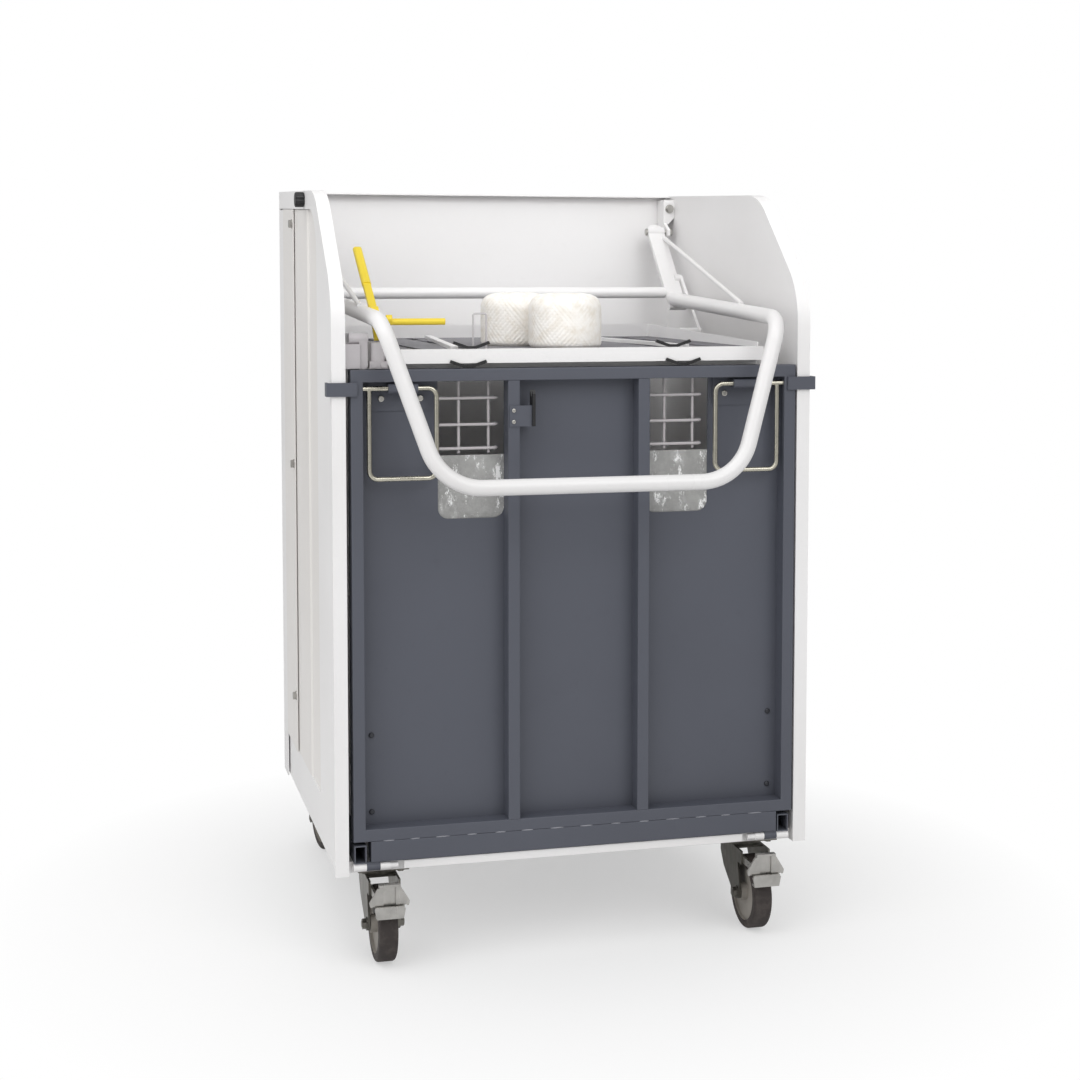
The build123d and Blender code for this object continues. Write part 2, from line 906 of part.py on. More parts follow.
# Round-head screws on the door
def round_screw(radius, height, x, y, z):
    dome = Pos(x, y, z) * Rot(90, 0, 0) * Cylinder(radius, height, align=(Align.CENTER, Align.CENTER, Align.MIN))
    rim = dome.edges().filter_by(GeomType.CIRCLE).sort_by(Axis.Y)[0]
    return fillet(rim, height * 0.7)


def door_screws():
    made = []
    plate_y = member_back - bail_plate_sheet
    for side in (-1, 1):
        c = side * bail_centre + door_shift
        for offset_x in (-32.0, 32.0):
            made.append(round_screw(5.5, 3.0, c + offset_x, plate_y, bail_screw_z))
        for z in (door_bottom + edge_screw_high, door_bottom + edge_screw_low):
            made.append(round_screw(4.5, 3.0, door_shift + side * edge_screw_x, member_back, z))
    for z in (cutter_bottom + 26.0, cutter_bottom + 7.5):
        made.append(round_screw(3.5, 2.0, cutter_x - 1, front_y - cutter_sheet, z))
    return Compound(children=made)


save("door_screws", door_screws())


# Hinges: white knuckles with their pins on the housing, dark knuckles on the door
def knuckle(x0, x1, bore, web_top, web_y0, web_y1):
    barrel = rod_x(x0, x1, hinge_y, hinge_z, knuckle_radius)
    web = block(x0, x1, web_y0, web_y1, hinge_z + knuckle_radius - 3, web_top)
    return barrel + web - rod_x(x0 - 1, x1 + 1, hinge_y, hinge_z, bore)


door_k1 = -knuckle_outer + knuckle_outer_length + side_gap
door_k2 = door_k1 + knuckle_door_length


def body_knuckles():
    outer = knuckle(-knuckle_outer, door_k1 - side_gap, pin_radius, floor_top, hinge_y - 4, hinge_y + 4)
    x0 = door_k2 + side_gap
    x1 = x0 + knuckle_inner_length
    barrel = rod_x(x0, x1, hinge_y, hinge_z, knuckle_radius)
    foot = block(x0, x1, hinge_y + 2, front_y + floor_notch, hinge_z - 4, hinge_z + 4)
    inner = barrel + foot - rod_x(x0 - 1, x1 + 1, hinge_y, hinge_z, pin_radius)
    pin = rod_x(-knuckle_outer - 0.5, x1 + 2, hinge_y, hinge_z, pin_radius)
    pin += rod_x(x1, x1 + pin_end_length, hinge_y, hinge_z, knuckle_radius - 1.6)
    left = outer + inner + pin
    return [left, mirrored(left)]


save("body_knuckles", Compound(children=body_knuckles()))


def door_knuckle():
    return knuckle(door_k1, door_k2, pin_radius + run_gap, beam_bottom, hinge_y - 5, hinge_y + 3)


door_knuckle_left = door_knuckle()
save("door_knuckles", Compound(children=[door_knuckle_left, mirrored(door_knuckle_left)]))


# The bow: one bent tube in front, flat bars at the back, a cross tube and two braces
bar_dy = pivot_y - arm_end_y
bar_dz = pivot_z - arm_end_z
bar_length = math.hypot(bar_dy, bar_dz)
bar_tilt = math.degrees(math.atan2(bar_dy, bar_dz))


def arm_z(y):
    return bow_elbow_z + (y - bow_elbow_y) * bow_arm_rise


def tube_line():
    start = (bow_arm_x, arm_end_y + 14, arm_z(arm_end_y + 14))
    elbow = (bow_arm_x, bow_elbow_y, bow_elbow_z)
    lead = Vector(bow_foot_x - bow_arm_x, bow_foot_y - bow_elbow_y, bow_foot_z - bow_elbow_z).normalized()
    middle = tuple(Vector(*elbow) + lead * 130)
    upper = FilletPolyline(start, elbow, middle, radius=bow_elbow_radius)
    corner = (bow_foot_x, bow_foot_y, bow_foot_z)
    lower = FilletPolyline(middle, corner, (0, bow_foot_y, bow_foot_z), radius=bow_foot_radius)
    return Wire(upper.edges() + lower.edges()), start


def bar_place():
    return Pos(arm_bar_x, pivot_y, pivot_z) * Rot(-bar_tilt, 0, 0)


def bow_tube():
    half, start = tube_line()
    ring = Circle(bow_tube_radius) - Circle(bow_tube_radius - bow_tube_wall)
    swept = sweep(Plane(origin=start, z_dir=(0, -1, -bow_arm_rise)) * ring, path=half)
    behind = Pos(0, 60 - arm_bar_sheet / 2, -bar_length) * Box(200, 120, 300)
    right = swept - bar_place() * behind
    tube = right + mirrored(right)
    y = lever_pivot_y
    edge = lever_x + lever_sheet / 2 + side_gap
    stud = rod_x(edge + 1, -bow_arm_x + bow_tube_radius - 4, y, arm_z(y), lever_pin_radius)
    button = rod_x(edge, edge + 3, y, arm_z(y), 6.5)
    return tube + stud + button


save("bow_tube", bow_tube())


def tube_core():
    # The outside of the straight arm of the bow tube, used to trim what is welded on to it.
    a = (bow_arm_x, arm_end_y + 40, arm_z(arm_end_y + 40))
    b = (bow_arm_x, bow_elbow_y + 60, arm_z(bow_elbow_y + 60))
    return rod_between(a, b, bow_tube_radius)


def bow_arm():
    half = arm_bar_width / 2
    length = bar_length + 26
    flat = Pos(0, 0, -length / 2) * Box(arm_bar_width, arm_bar_sheet, length)
    nose = Rot(90, 0, 0) * Cylinder(half, arm_bar_sheet)
    x0 = arm_bar_x - half
    x1 = arm_bar_x + half
    barrel = rod_x(x0, x1, pivot_y, pivot_z, bow_barrel_radius)
    boss_end = link_x - link_sheet / 2 - link_foot_gap
    boss = rod_x(x1 - 8, boss_end, link_pivot_y, link_pivot_z, 9.0)
    brace_top = (x1 - 4.2, pivot_y - 9, pivot_z - 9.3)
    brace_low = (bow_arm_x + 4, brace_foot_y, arm_z(brace_foot_y) + bow_tube_radius)
    brace = rod_between(brace_top, brace_low, brace_radius) - tube_core()
    arm = bar_place() * (flat + nose) + barrel + boss + brace
    arm -= rod_x(x0 - 1, x1 + 1, pivot_y, pivot_z, pivot_radius + run_gap)
    return arm - rod_x(x1 - 7, boss_end + 1, link_pivot_y, link_pivot_z, link_pin_radius + run_gap)


arm_right = bow_arm()
save("bow_arm_right", arm_right)
save("bow_arm_left", mirrored(arm_right))


def cross_tube():
    x = arm_bar_x - arm_bar_width / 2
    along = (pivot_y - cross_y) / bar_dy
    z = pivot_z - bar_dz * along
    core = tube_core()
    tube = rod_x(-x, x, cross_y, z, cross_radius) - core - mirrored(core)
    return tube - rod_x(-x + 30, x - 30, cross_y, z, cross_radius - 2)


save("cross_tube", cross_tube())


# The press plate: front beam, side flanges, slotted top and a shallow pressing tray
def press_frame():
    x = press_half_width
    s = press_sheet
    y_beam = press_front + press_beam_depth
    left = keeper_inner
    beam = block(left, x, press_front, y_beam, press_beam_bottom, press_beam_top)
    bore = block(left + s, x - s, press_front + s, y_beam - s, press_beam_bottom + s, press_beam_top - s)
    low = press_beam_bottom
    pts = [(y_beam, low), (press_rear, low), (press_rear, press_flange_top), (y_beam, press_flange_front)]
    side = side_plate(make_face(Polyline(*pts, close=True)), x - s, x)
    rear = block(-x, x, press_rear - s, press_rear, press_beam_bottom, press_flange_top)
    top = block(-x + 1, x - 1, y_beam, press_rear - 1, grate_top - s, grate_top)
    frame = beam - bore + side + mirrored(side) + rear
    pitch = (2 * x - 60) / slot_count
    slot_rows = [
        (press_front + 55, press_front + 285),
        (press_front + 315, press_front + 465),
        (press_rear - 145, press_rear - 30),
    ]
    for i in range(slot_count):
        slot_x = -x + 30 + pitch * (i + 0.5)
        if abs(slot_x) > 130:
            for y0, y1 in slot_rows:
                top -= block(slot_x - slot_width / 2, slot_x + slot_width / 2, y0, y1, grate_top - 5, grate_top + 1)
    frame += top
    for side_x in (-1, 1):
        a = Vector(side_x * 131.0, press_rear - 30, grate_top + 3)
        b = Vector(side_x * 199.0, y_beam + 8, grate_top + 3)
        d = b - a
        turn = math.degrees(math.atan2(d.Y, d.X))
        strut = Box(d.length, 12, 8)
        frame += Pos((a.X + b.X) / 2, (a.Y + b.Y) / 2, grate_top + 2) * Rot(0, 0, turn) * strut
        end = link_x - link_sheet / 2 - link_foot_gap
        frame += rod_x(side_x * (x - 1), side_x * end, link_foot_y, link_foot_z, 7.0)
    return frame


save("press_frame", press_frame())


def press_pad():
    x = press_half_width - 2
    s = press_sheet
    outer = block(-x, x, pad_front, press_rear - 1, pad_bottom, press_beam_bottom)
    inner = block(-x + s, x - s, pad_front + s, press_rear - 1 - s, pad_bottom + s, press_beam_bottom + 1)
    return outer - inner


save("press_pad", press_pad())


def latch_keeper():
    x1 = keeper_inner
    x0 = keeper_inner - keeper_width
    middle = (x0 + x1) / 2
    y0 = press_front
    y1 = press_front + press_beam_depth
    foot = block(x0, x1, y0, y1, keeper_bottom, keeper_step)
    post = rod_z(middle, (y0 + y1) / 2, keeper_step, keeper_top, 12.4)
    keeper = foot + post
    for x in (x0 + 7, x1 - 7):
        keeper += rod_y(x, y0 - 2.5, y0 + 1, (keeper_bottom + keeper_step) / 2, 4.0)
    return keeper


save("latch_keeper", latch_keeper())


def latch_stop():
    y0 = press_front
    y1 = press_front + stop_depth
    z = stop_box_top + stop_tube_radius
    box = block(-inner_x, stop_box_x, y0, y1, stop_box_bottom, stop_box_top + 1)
    tube = rod_x(-inner_x + 8, stop_tube_end, y0 + 12, z, stop_tube_radius)
    bar = block(stop_box_x - 1, stop_tube_end - 1, y0 + 3, y0 + 9, stop_box_bottom + 6, z)
    tip = rod_y((stop_box_x - 1 + stop_tube_end - 1) / 2, y0 + 3, y0 + 9, stop_box_bottom + 6, 7.2)
    return box + tube + bar + tip


save("latch_stop", latch_stop())


# Two balls of twine that stand on the press plate
def twine_ball(x, y):
    outline = Polyline((0, 0), (ball_radius - 4, 0), (ball_radius, 8), (ball_radius, ball_height - ball_shoulder))
    crown = Spline(
        (ball_radius, ball_height - ball_shoulder),
        (ball_radius * 0.74, ball_height - 7),
        (0, ball_height),
        tangents=((0, 1), (-1, 0)),
    )
    face = make_face(outline.edges() + crown.edges() + [Edge.make_line((0, ball_height), (0, 0))])
    solid = revolve(Plane.XZ * face, Axis.Z)
    eye = Pos(0, 0, ball_height - 10) * Cylinder(9, 30)
    return Pos(x, y, grate_top) * (solid - eye)


twine = [twine_ball(ball_left_x, ball_left_y), twine_ball(ball_right_x, ball_right_y)]
save("twine_balls", Compound(children=twine))


def twine_guide():
    x0 = guide_x - guide_half_width
    x1 = guide_x + guide_half_width
    y = guide_y
    points = [(x0, y, grate_top), (x0, y, guide_top), (x1, y, guide_top), (x1, y, grate_top)]
    return bent_wire(points, guide_bend, guide_wire)


save("twine_guide", twine_guide())


def twine_clip(x, y0, y1, z):
    w = clip_half_width
    t = clip_sheet
    top = z + clip_rise
    outline = [
        (x - w, top),
        (x - w * 0.25, z),
        (x + w * 0.25, z),
        (x + w, top),
        (x + w - 2, top + t),
        (x + w * 0.2, z + t),
        (x - w * 0.2, z + t),
        (x - w + 2, top + t),
    ]
    return front_plate(make_face(Polyline(*outline, close=True)), y0, y1)


def twine_clips():
    made = []
    z_low = press_beam_bottom - 7
    y_top = press_front + press_beam_depth
    for side in (-1, 1):
        made.append(twine_clip(side * clip_front_x, press_front - 3, press_front, z_low))
        made.append(twine_clip(side * clip_rear_x, y_top - 6, y_top, press_beam_top))
    return Compound(children=made)


save("twine_clips", twine_clips())


# The links that carry the press plate from the bow
def link():
    a = Vector(link_x, link_pivot_y, link_pivot_z)
    b = Vector(link_x, link_foot_y, link_foot_z)
    d = a - b
    turn = math.degrees(math.atan2(d.Z, d.Y))
    half = link_sheet / 2
    mid = (a + b) / 2
    bar = Pos(mid.X, mid.Y, mid.Z) * Rot(turn, 0, 0) * Box(link_sheet, d.length, link_width)
    bar += rod_x(link_x - half, link_x + half, a.Y, a.Z, link_width / 2)
    bar += rod_x(link_x - half, link_x + half, b.Y, b.Z, link_width / 2)
    bar += rod_x(arm_bar_x + arm_bar_width / 2 - 6, link_x + half + 3, a.Y, a.Z, link_pin_radius)
    return bar + rod_x(link_x + half, link_x + half + 3, b.Y, b.Z, 6.0)


link_right = link()
save("link_right", link_right)
save("link_left", mirrored(link_right))


# The release lever: a bent strip with a grip, and the cross rod that it carries
def lever_strip(a, b):
    d = Vector(b[0] - a[0], b[1] - a[1])
    turn = math.degrees(math.atan2(d.Y, d.X))
    strip = Rot(turn, 0, 0) * Box(lever_sheet, d.length, lever_width)
    ends = rod_x(lever_x - lever_sheet / 2, lever_x + lever_sheet / 2, b[0], b[1], lever_width / 2)
    return Pos(lever_x, (a[0] + b[0]) / 2, (a[1] + b[1]) / 2) * strip + ends


def release_lever():
    pivot = (lever_pivot_y, arm_z(lever_pivot_y))
    top = (lever_top_y, lever_top_z)
    low = (lever_low_y, lever_low_z)
    strip = lever_strip(pivot, top) + lever_strip(pivot, low)
    strip += lever_strip(pivot, (lever_rod_y, lever_rod_z))
    hub = rod_x(lever_x - lever_sheet / 2, lever_x + lever_sheet / 2, pivot[0], pivot[1], 11.0)
    d = Vector(0, top[0] - pivot[0], top[1] - pivot[1]).normalized()
    turn = math.degrees(math.atan2(d.Z, d.Y))
    grip = Box(grip_thick, grip_length, grip_width)
    grip = fillet(grip.edges().filter_by(Axis.Y), 5.0)
    centre = Vector(lever_x, top[0], top[1]) - d * (grip_length / 2 - 6)
    grip = Pos(centre.X, centre.Y, centre.Z) * Rot(turn, 0, 0) * grip
    rod = rod_x(lever_x, lever_x + rod_length - 26, lever_rod_y, lever_rod_z, rod_radius)
    eye = rod_x(lever_x + 5, lever_x + 14, lever_rod_y, lever_rod_z + 4, 7.5)
    bore = rod_x(lever_x - 15, lever_x + 15, pivot[0], pivot[1], lever_pin_radius + run_gap)
    return strip + hub + grip + rod + eye - bore


save("release_lever", release_lever())


# The fluted knob on the left side
def side_knob():
    face = -half_width
    knob = rod_x(face - side_gap - knob_length, face - side_gap, knob_y, knob_z, knob_radius)
    knob = fillet(knob.edges().filter_by(GeomType.CIRCLE), 3.0)
    for i in range(knob_flutes):
        angle = 2 * math.pi * i / knob_flutes
        y = knob_y + (knob_radius + 1.5) * math.cos(angle)
        z = knob_z + (knob_radius + 1.5) * math.sin(angle)
        knob -= rod_x(face - knob_length - 2, face - 2, y, z, 4.0)
    return knob + rod_x(face - 2, face + sheet + 4, knob_y, knob_z, knob_stud_radius)


save("side_knob", side_knob())


# Swivel castors
def castor_plate(side, end):
    x = side * castor_x
    y = end * castor_y
    z1 = body_bottom
    z0 = z1 - plate_sheet
    plate = block(x - plate_width / 2, x + plate_width / 2, y - plate_length / 2, y + plate_length / 2, z0, z1)
    kingpin = rod_z(x, y, fork_top - 14, z0 + 1, kingpin_radius)
    button = rod_z(x, y, fork_top - 13, fork_top - 10, 13.0)
    made = plate + kingpin + button
    for dx in (-30, 30):
        for dy in (-38, 38):
            made += Pos(x + dx, y + dy, z0 - 4) * hex_head(6.5, 5)
    return made


plates = [castor_plate(side, end) for side, end, turn in castor_places.values()]
save("castor_plates", Compound(children=plates))


def castor_fork():
    half = fork_inside / 2
    s = fork_sheet
    wy = -castor_trail
    deck = fork_top - 10
    cap = rod_z(0, 0, deck, fork_top + 5.5, 27.0) + block(-half - s, half + s, -30, 30, deck, deck + s)
    cap -= rod_z(0, 0, deck + s, fork_top + 2.5, 16.0)
    cap -= rod_z(0, 0, deck - 1, fork_top + 10, kingpin_radius + run_gap)
    r = wheel_radius
    pts = [(-30, deck + s), (fork_tail, deck + s), (fork_tail + 2, deck - 22), (fork_tail - 14, deck - 46)]
    pts += [(wy + 15, r - 9), (wy - 13, r - 9), (wy - 15, r + 8), (-40, deck - 16)]
    leg = side_plate(fillet(make_face(Polyline(*pts, close=True)).vertices(), 6.0), half, half + s)
    leg_pair = leg + mirrored(leg)
    axle = rod_x(-half - s - axle_nut - 1, half + s + axle_nut + 1, wy, r, axle_radius)
    axle += rod_x(-half - s - 1.5, -half, wy, r, 11.0) + rod_x(half, half + s + 1.5, wy, r, 11.0)
    heads = Pos(half + s, wy, wheel_radius) * Rot(0, 90, 0) * hex_head(9.0, axle_nut)
    y = pedal_pivot_y
    z = pedal_pivot_z
    lug = block(half, half + s, y - 8, -24, z - 8, deck + s)
    lug += rod_x(half - 5.5, half + s, y, z, pedal_pin_radius)
    return cap + leg_pair + axle + heads + mirrored(heads) + lug + mirrored(lug)


def castor_wheel():
    half = wheel_width / 2
    tread = rod_x(-half, half, 0, 0, wheel_radius)
    rims = [e for e in tread.edges().filter_by(GeomType.CIRCLE)]
    tread = fillet(rims, 5.0)
    dish = rod_x(half - 5, half + 1, 0, 0, wheel_radius - tyre_depth)
    tread = tread - dish - mirrored(dish)
    hub = rod_x(-fork_inside / 2 + 1, fork_inside / 2 - 1, 0, 0, 15.0)
    return tread + hub - rod_x(-60, 60, 0, 0, axle_radius + run_gap)


def brake_pedal():
    w = pedal_width / 2
    b = pedal_bar_width / 2
    t = pedal_sheet
    y = pedal_front
    z = pedal_bottom
    x1 = fork_inside / 2 - side_gap
    face = [(-w + 3, z), (-w, z + 16), (-w + 2, z + 20), (w - 2, z + 20), (w, z + 16), (w - 3, z)]
    tread = block(-w + 3, w - 3, y, y + 14, z, z + t)
    tread += front_plate(make_face(Polyline(*face, close=True)), y, y + t)
    lobe = [(10, z + 51), (19, z + 49), (33, z + 26), (31, z + 17), (26, z + 21), (22, z + 15), (10, z + 20)]
    lobe_plate = front_plate(fillet(make_face(Polyline(*lobe, close=True)).vertices(), 2.0), y + 7, y + 11)
    tread += lobe_plate + mirrored(lobe_plate)
    rise = block(-b, b, y + 10, y + 14, z, z + 55)
    bar = block(-b, b, y + 4, y + 14, z + 51, z + 55)
    hinge_z0 = pedal_pivot_z - 6
    hinge_z1 = pedal_pivot_z + 6
    arms = block(x1 - 4, x1, y + 12, pedal_pivot_y + 6, hinge_z0, hinge_z1)
    tie = block(-x1, x1, y + 12, y + 16, hinge_z0, hinge_z1)
    bore = rod_x(-x1 - 1, x1 + 1, pedal_pivot_y, pedal_pivot_z, pedal_pin_radius + run_gap)
    return tread + rise + bar + arms + mirrored(arms) + tie - bore


fork_shape = castor_fork()
wheel_shape = castor_wheel()
for name, (side, end, turn) in castor_places.items():
    place = Pos(side * castor_x, end * castor_y, 0) * Rot(0, 0, turn)
    save(f"castor_fork_{name}", place * fork_shape)
    save(f"castor_wheel_{name}", place * Pos(0, -castor_trail, wheel_radius) * wheel_shape)
    if end < 0:
        save(f"brake_pedal_{name}", place * brake_pedal())
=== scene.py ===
import json
import math
import random

import bpy
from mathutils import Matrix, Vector


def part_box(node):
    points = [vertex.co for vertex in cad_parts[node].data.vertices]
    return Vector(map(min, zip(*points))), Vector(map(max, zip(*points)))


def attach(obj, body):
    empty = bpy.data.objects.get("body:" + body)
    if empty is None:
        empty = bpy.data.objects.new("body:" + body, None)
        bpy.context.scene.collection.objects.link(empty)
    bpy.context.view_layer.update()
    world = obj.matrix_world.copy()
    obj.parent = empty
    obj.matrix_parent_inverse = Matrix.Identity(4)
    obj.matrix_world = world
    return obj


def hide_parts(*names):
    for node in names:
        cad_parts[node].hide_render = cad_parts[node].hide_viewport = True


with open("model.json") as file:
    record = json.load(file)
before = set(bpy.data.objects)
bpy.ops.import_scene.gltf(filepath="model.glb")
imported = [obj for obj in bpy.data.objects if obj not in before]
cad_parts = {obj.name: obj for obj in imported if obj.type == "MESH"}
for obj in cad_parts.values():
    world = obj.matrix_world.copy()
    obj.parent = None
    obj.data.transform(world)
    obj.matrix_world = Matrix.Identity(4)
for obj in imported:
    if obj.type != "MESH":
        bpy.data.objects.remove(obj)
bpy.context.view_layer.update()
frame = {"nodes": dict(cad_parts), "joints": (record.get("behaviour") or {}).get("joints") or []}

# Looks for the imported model, in its own frame. Metres throughout.
random.seed(7)
nodes = frame["nodes"]
MM = 0.001


# ---- Camera: the view of the photograph (metres, degrees, millimetres of lens) ----
CAMERA_PLACE = (-0.8149, -3.24835, 1.1240)
CAMERA_YAW = 14.392
CAMERA_PITCH = 4.085
CAMERA_FOCAL = 62.07
CAMERA_SHIFT = -0.12
SENSOR_WIDTH = 36.0
CLIP_NEAR = 0.05
CLIP_FAR = 60.0

camera_data = bpy.data.cameras.new("camera")
camera_data.sensor_width = SENSOR_WIDTH
camera_data.lens = CAMERA_FOCAL
camera_data.shift_y = CAMERA_SHIFT
camera_data.clip_start = CLIP_NEAR
camera_data.clip_end = CLIP_FAR
camera = bpy.data.objects.new("camera", camera_data)
camera.location = CAMERA_PLACE
camera.rotation_euler = (math.radians(90 - CAMERA_PITCH), 0, math.radians(-CAMERA_YAW))
bpy.context.scene.collection.objects.link(camera)
bpy.context.scene.camera = camera


# ---- Materials ----
def linear(colour):
    # Turns an 8-bit screen colour into a linear one.
    made = []
    for value in colour:
        c = value / 255
        made.append(c / 12.92 if c <= 0.04045 else ((c + 0.055) / 1.055) ** 2.4)
    return (*made, 1.0)


class Surface:
    # A principled material in object coordinates, with layers of bump and colour on top.
    def __init__(self, name, colour, roughness, metallic=0.0):
        self.material = bpy.data.materials.new(name)
        self.material.use_nodes = True
        self.tree = self.material.node_tree
        self.shader = self.tree.nodes["Principled BSDF"]
        self.shader.inputs["Base Color"].default_value = linear(colour)
        self.shader.inputs["Roughness"].default_value = roughness
        self.shader.inputs["Metallic"].default_value = metallic
        self.place = self.add("ShaderNodeTexCoord").outputs["Object"]

    def add(self, kind, **values):
        node = self.tree.nodes.new(kind)
        for key, value in values.items():
            setattr(node, key, value)
        return node

    def join(self, a, b):
        self.tree.links.new(a, b)

    def stretched(self, scale):
        mapping = self.add("ShaderNodeMapping")
        mapping.inputs["Scale"].default_value = scale
        self.join(self.place, mapping.inputs["Vector"])
        return mapping.outputs["Vector"]

    def noise(self, scale, detail=3.0, rough=0.5, stretch=None):
        node = self.add("ShaderNodeTexNoise")
        node.inputs["Scale"].default_value = scale
        node.inputs["Detail"].default_value = detail
        node.inputs["Roughness"].default_value = rough
        self.join(self.stretched(stretch) if stretch else self.place, node.inputs["Vector"])
        return node.outputs["Fac"]

    def ramp(self, value, low, high, out_low=0.0, out_high=1.0):
        node = self.add("ShaderNodeMapRange")
        node.inputs["From Min"].default_value = low
        node.inputs["From Max"].default_value = high
        node.inputs["To Min"].default_value = out_low
        node.inputs["To Max"].default_value = out_high
        self.join(value, node.inputs["Value"])
        return node.outputs["Result"]

    def bump(self, height, distance, strength=1.0):
        node = self.add("ShaderNodeBump")
        node.inputs["Distance"].default_value = distance
        node.inputs["Strength"].default_value = strength
        self.join(height, node.inputs["Height"])
        earlier = self.shader.inputs["Normal"].links
        if earlier:
            self.join(earlier[0].from_socket, node.inputs["Normal"])
        self.join(node.outputs["Normal"], self.shader.inputs["Normal"])
        return self

    def tint(self, value, colour):
        # Lays a second colour over the first where value is high.
        node = self.add("ShaderNodeMix", data_type="RGBA")
        slot = self.shader.inputs["Base Color"]
        if slot.links:
            self.join(slot.links[0].from_socket, node.inputs["A"])
        else:
            node.inputs["A"].default_value = slot.default_value
        node.inputs["B"].default_value = linear(colour)
        self.join(value, node.inputs["Factor"])
        self.join(node.outputs["Result"], slot)
        return self

    def sheen_of(self, value):
        self.join(value, self.shader.inputs["Roughness"])
        return self

    def patches(self, colour, amount, span, **noise):
        # Cloudy patches of a second colour, from none to amount over a span of the noise.
        return self.tint(self.ramp(self.noise(**noise), *span, 0.0, amount), colour)

    def grain(self, distance, strength, **noise):
        # Bumps of a noise, as deep as distance in metres.
        return self.bump(self.noise(**noise), distance, strength)


STREAKS = (1.0, 1.0, 0.1)
FINE_STREAKS = (1.0, 1.0, 0.06)
PANE_LINES = (1.0, 1.0, 0.05)
PANE_SCRATCHES = (1.0, 1.0, 0.42)


def painted(name, colour, shade, roughness=0.36):
    # Powder coat: fine peel, faint waviness of the sheet, small wear and dust.
    s = Surface(name, colour, roughness)
    s.patches(shade, 0.5, (0.42, 0.72), scale=2.3, detail=4.0)
    s.patches(shade, 0.35, (0.60, 0.78), scale=38.0, detail=5.0, rough=0.7)
    cloud = s.noise(scale=6.0, detail=4.0)
    s.sheen_of(s.ramp(cloud, 0.3, 0.7, roughness - 0.05, roughness + 0.09))
    s.grain(0.004, 0.25, scale=3.5, detail=2.0)
    s.grain(0.00025, 0.35, scale=900.0, detail=2.0)
    return s


def brushed(name, colour, roughness=0.32):
    # Bare or plated metal with a fine grain and darker clouds.
    s = Surface(name, colour, roughness, 1.0)
    s.patches([c * 0.8 for c in colour], 0.5, (0.35, 0.75), scale=60.0, detail=4.0)
    streaks = s.noise(scale=120.0, detail=3.0, rough=0.6, stretch=STREAKS)
    s.sheen_of(s.ramp(streaks, 0.3, 0.7, roughness - 0.08, roughness + 0.1))
    s.grain(0.0002, 0.4, scale=700.0, detail=2.0, rough=0.5, stretch=FINE_STREAKS)
    return s


white = painted("white_coat", (241, 240, 240), (231, 229, 228))
# A darker, warmer copy of the white paint for the side covers: painted shade of the side that faces
# away from the lamps.
side_shaded_white = painted("side_shaded_coat", (236, 233, 230), (224, 221, 217))
# A slightly darker copy of the white paint for the bow and cross tube: painted shade, so these
# tubes render no brighter than the body under the lamps.
bow_shaded_white = painted("bow_shaded_coat", (235, 234, 234), (224, 222, 221), 0.32)
grey = painted("grey_coat", (84, 87, 97), (75, 77, 86), 0.5)
dark_grey = painted("rail_coat", (86, 89, 98), (74, 77, 85), 0.48)
grate_grey = painted("grate_coat", (114, 113, 118), (84, 83, 87), 0.5)
yellow = painted("yellow_coat", (238, 212, 58), (226, 194, 40), 0.34)
guard_zinc = painted("guard_coat", (196, 192, 194), (168, 164, 166), 0.34)
# Weld beads are real, but their light grey, well above the door's grey paint, is a painted
# highlight of light catching along the joint.
weld_highlight_grey = painted("weld_highlight_coat", (150, 151, 158), (96, 98, 106), 0.34)
zinc = brushed("zinc", (188, 186, 182))
bright_zinc = brushed("bright_zinc", (206, 204, 198), 0.24)
nickel = brushed("nickel", (203, 199, 184), 0.26)
dark_zinc = brushed("dark_zinc", (122, 120, 114), 0.34)

dark_screw = Surface("dark_screw", (62, 63, 68), 0.4, 0.6)
dark_screw.grain(0.0001, 0.4, scale=800.0, detail=2.0)
dark_screw.patches((90, 91, 95), 0.4, (0.45, 0.8), scale=70.0)

black = Surface("black_plastic", (24, 24, 26), 0.45)
black.grain(0.0001, 0.5, scale=1400.0, detail=2.0)
black.patches((50, 50, 52), 0.4, (0.45, 0.8), scale=90.0)

tyre = Surface("tyre_rubber", (50, 43, 41), 0.62)
tyre.patches((92, 84, 80), 0.6, (0.45, 0.75), scale=45.0, detail=5.0, rough=0.7)
tyre.grain(0.0003, 0.5, scale=650.0, detail=3.0)

hub = Surface("hub_plastic", (152, 147, 140), 0.5)
hub.patches((120, 115, 108), 0.4, (0.4, 0.7), scale=30.0, detail=4.0)
hub.grain(0.0002, 0.4, scale=500.0)

# The panes: milky and half clear, with white scratches that are nearly solid.
pane = Surface("scratched_pane", (196, 196, 194), 0.3)
haze = pane.ramp(pane.noise(scale=26.0, detail=6.0, rough=0.75), 0.42, 0.72)
scratches = pane.noise(scale=46.0, detail=7.0, rough=0.85, stretch=PANE_SCRATCHES)
scratch = pane.ramp(scratches, 0.535, 0.59)
pane.tint(scratch, (246, 246, 246))
solid_part = pane.add("ShaderNodeMath", operation="MAXIMUM")
pane.join(pane.ramp(haze, 0.0, 1.0, 0.42, 0.66), solid_part.inputs[0])
pane.join(pane.ramp(scratch, 0.0, 1.0, 0.0, 0.97), solid_part.inputs[1])
pane.join(solid_part.outputs["Value"], pane.shader.inputs["Alpha"])
pane.grain(0.0003, 0.4, scale=400.0, detail=4.0, rough=0.7, stretch=PANE_LINES)

twine = Surface("twine_fibre", (250, 247, 242), 0.8)
twine.shader.inputs["Sheen Weight"].default_value = 0.25
twine.patches((222, 212, 196), 0.6, (0.42, 0.75), scale=70.0, detail=5.0)
twine.grain(0.0004, 0.6, scale=1500.0, detail=3.0)

